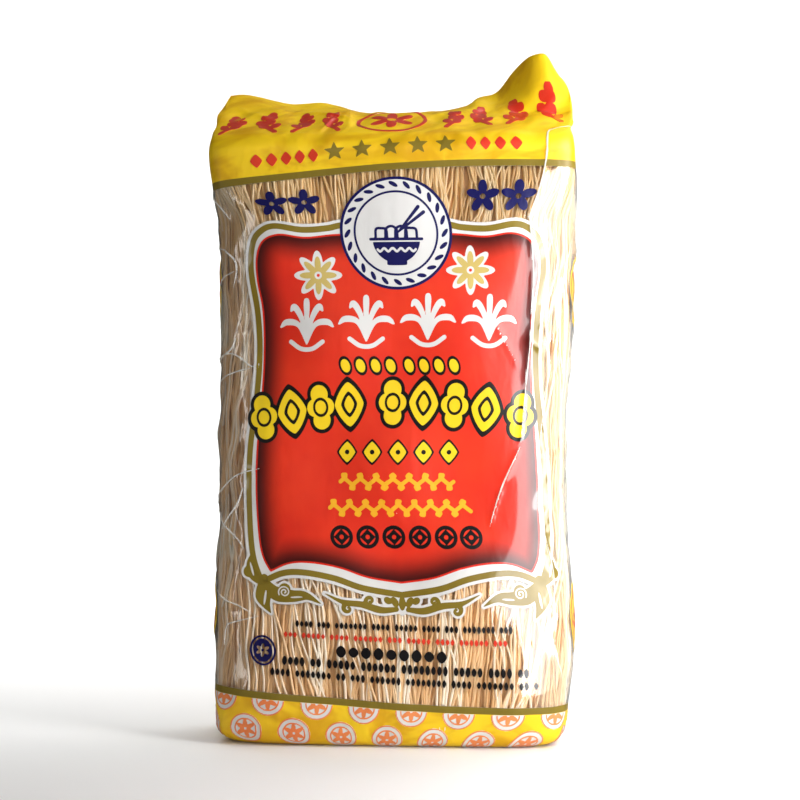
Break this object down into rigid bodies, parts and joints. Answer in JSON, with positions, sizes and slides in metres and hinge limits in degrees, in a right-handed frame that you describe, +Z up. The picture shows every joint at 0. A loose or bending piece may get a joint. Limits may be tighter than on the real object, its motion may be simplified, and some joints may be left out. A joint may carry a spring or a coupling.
{
  "type": "bag of dried rice vermicelli",
  "caption": "Upright brick-shaped clear bag filled with dried rice vermicelli, with a gabled top and a crumpled sealed header that folds back.",
  "frame": {"origin": "on the floor, under the middle of the bag's outline", "axes": "+Z up, from the folded base to the sealed header; -Y out of the printed front; +X to the right as seen from the front"},
  "size_m": [0.1568, 0.0618, 0.2994],
  "materials": {
    "printed_film": "clear glossy film, part printed, over pale translucent noodles"
  },
  "bodies": {
    "root": {"vermicelli_pack": "printed_film"}
  },
  "joints": []
}
